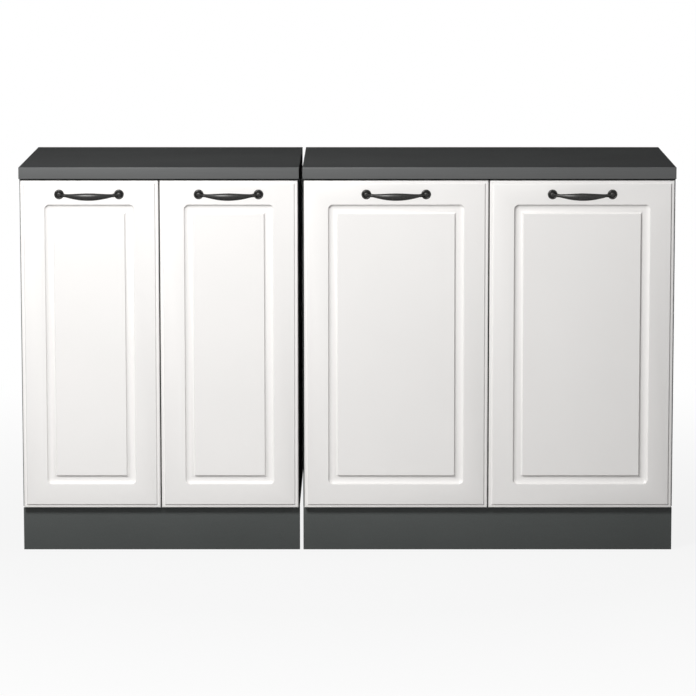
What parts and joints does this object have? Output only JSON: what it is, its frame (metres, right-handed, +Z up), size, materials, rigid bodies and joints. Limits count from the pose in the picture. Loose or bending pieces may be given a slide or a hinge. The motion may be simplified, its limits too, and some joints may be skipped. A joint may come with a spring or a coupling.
{
  "type": "kitchen base units",
  "caption": "Free-standing kitchen base units side by side, with framed doors on concealed cup hinges, bow handles, worktops, shelves, adjustable feet and clip-on plinths.",
  "frame": {"origin": "floor level, at the middle of the whole set's width and depth, handles included", "axes": "+X to the right as seen from the front, the doors face -Y, +Z up"},
  "size_m": [1.4076, 0.489, 0.838],
  "materials": {
    "carcass_board": "anthracite melamine on particle board, fine orange-peel texture",
    "back_board": "thin lacquered hardboard",
    "worktop_laminate": "matt anthracite laminate on particle board",
    "worktop_edging": "satin anthracite edging",
    "plinth_board": "anthracite melamine on particle board",
    "door_foil": "white satin foil on milled fibreboard",
    "black_handle": "black antique lacquer on cast zinc, rubbed at the edges",
    "nickel_steel": "nickel-plated pressed steel",
    "zinc_screws": "zinc-plated steel",
    "black_plastic": "moulded black polypropylene",
    "clear_rubber": "soft clear polyurethane"
  },
  "bodies": {
    "root": {"narrow_left_side": "carcass_board", "narrow_right_side": "carcass_board", "narrow_bottom_panel": "carcass_board", "narrow_front_rail": "carcass_board", "narrow_rear_rail": "carcass_board", "narrow_back_panel": "back_board", "narrow_shelf": "carcass_board", "narrow_worktop": "worktop_laminate", "narrow_worktop_edging": "worktop_edging", "narrow_plinth": "plinth_board", "wide_left_side": "carcass_board", "wide_right_side": "carcass_board", "wide_bottom_panel": "carcass_board", "wide_front_rail": "carcass_board", "wide_rear_rail": "carcass_board", "wide_back_panel": "back_board", "wide_shelf": "carcass_board", "wide_worktop": "worktop_laminate", "wide_worktop_edging": "worktop_edging", "wide_plinth": "plinth_board", "hinge_arms": "nickel_steel", "hinge_plates": "nickel_steel", "hinge_screws": "zinc_screws", "shelf_pins": "zinc_screws", "carcass_screws": "zinc_screws", "worktop_screws": "zinc_screws", "leg_sockets": "black_plastic", "leg_socket_screws": "zinc_screws", "plinth_clips": "black_plastic", "plinth_clip_screws": "zinc_screws", "door_buffers": "clear_rubber"},
    "narrow_left_door": {"narrow_left_door": "door_foil", "narrow_left_handle": "black_handle", "narrow_left_door_screws": "zinc_screws", "narrow_left_hinge_cups": "nickel_steel", "narrow_left_hinge_pins": "nickel_steel"},
    "narrow_right_door": {"narrow_right_door": "door_foil", "narrow_right_handle": "black_handle", "narrow_right_door_screws": "zinc_screws", "narrow_right_hinge_cups": "nickel_steel", "narrow_right_hinge_pins": "nickel_steel"},
    "wide_left_door": {"wide_left_door": "door_foil", "wide_left_handle": "black_handle", "wide_left_door_screws": "zinc_screws", "wide_left_hinge_cups": "nickel_steel", "wide_left_hinge_pins": "nickel_steel"},
    "wide_right_door": {"wide_right_door": "door_foil", "wide_right_handle": "black_handle", "wide_right_door_screws": "zinc_screws", "wide_right_hinge_cups": "nickel_steel", "wide_right_hinge_pins": "nickel_steel"},
    "narrow_front_left_foot": {"narrow_front_left_foot": "black_plastic"},
    "narrow_front_right_foot": {"narrow_front_right_foot": "black_plastic"},
    "narrow_rear_left_foot": {"narrow_rear_left_foot": "black_plastic"},
    "narrow_rear_right_foot": {"narrow_rear_right_foot": "black_plastic"},
    "wide_front_left_foot": {"wide_front_left_foot": "black_plastic"},
    "wide_front_right_foot": {"wide_front_right_foot": "black_plastic"},
    "wide_rear_left_foot": {"wide_rear_left_foot": "black_plastic"},
    "wide_rear_right_foot": {"wide_rear_right_foot": "black_plastic"}
  },
  "joints": [
    {"name": "narrow_left_door_hinge", "type": "hinge", "parent": "root", "child": "narrow_left_door", "pos_m": [-0.69455, -0.2057, 0.4535], "axis": [0, 0, 1], "range_deg": [-95, 0]},
    {"name": "narrow_right_door_hinge", "type": "hinge", "parent": "root", "child": "narrow_right_door", "pos_m": [-0.11295, -0.2057, 0.4535], "axis": [0, 0, 1], "range_deg": [0, 95]},
    {"name": "wide_left_door_hinge", "type": "hinge", "parent": "root", "child": "wide_left_door", "pos_m": [-0.08705, -0.2057, 0.4535], "axis": [0, 0, 1], "range_deg": [-95, 0]},
    {"name": "wide_right_door_hinge", "type": "hinge", "parent": "root", "child": "wide_right_door", "pos_m": [0.69455, -0.2057, 0.4535], "axis": [0, 0, 1], "range_deg": [0, 95]},
    {"name": "narrow_front_left_foot_turn", "type": "hinge", "parent": "root", "child": "narrow_front_left_foot", "pos_m": [-0.63375, -0.1335, 0], "axis": [0, 0, 1], "continuous": true},
    {"name": "narrow_front_right_foot_turn", "type": "hinge", "parent": "root", "child": "narrow_front_right_foot", "pos_m": [-0.17375, -0.1335, 0], "axis": [0, 0, 1], "continuous": true},
    {"name": "narrow_rear_left_foot_turn", "type": "hinge", "parent": "root", "child": "narrow_rear_left_foot", "pos_m": [-0.63375, 0.1845, 0], "axis": [0, 0, 1], "continuous": true},
    {"name": "narrow_rear_right_foot_turn", "type": "hinge", "parent": "root", "child": "narrow_rear_right_foot", "pos_m": [-0.17375, 0.1845, 0], "axis": [0, 0, 1], "continuous": true},
    {"name": "wide_front_left_foot_turn", "type": "hinge", "parent": "root", "child": "wide_front_left_foot", "pos_m": [-0.02625, -0.1335, 0], "axis": [0, 0, 1], "continuous": true},
    {"name": "wide_front_right_foot_turn", "type": "hinge", "parent": "root", "child": "wide_front_right_foot", "pos_m": [0.63375, -0.1335, 0], "axis": [0, 0, 1], "continuous": true},
    {"name": "wide_rear_left_foot_turn", "type": "hinge", "parent": "root", "child": "wide_rear_left_foot", "pos_m": [-0.02625, 0.1845, 0], "axis": [0, 0, 1], "continuous": true},
    {"name": "wide_rear_right_foot_turn", "type": "hinge", "parent": "root", "child": "wide_rear_right_foot", "pos_m": [0.63375, 0.1845, 0], "axis": [0, 0, 1], "continuous": true}
  ]
}
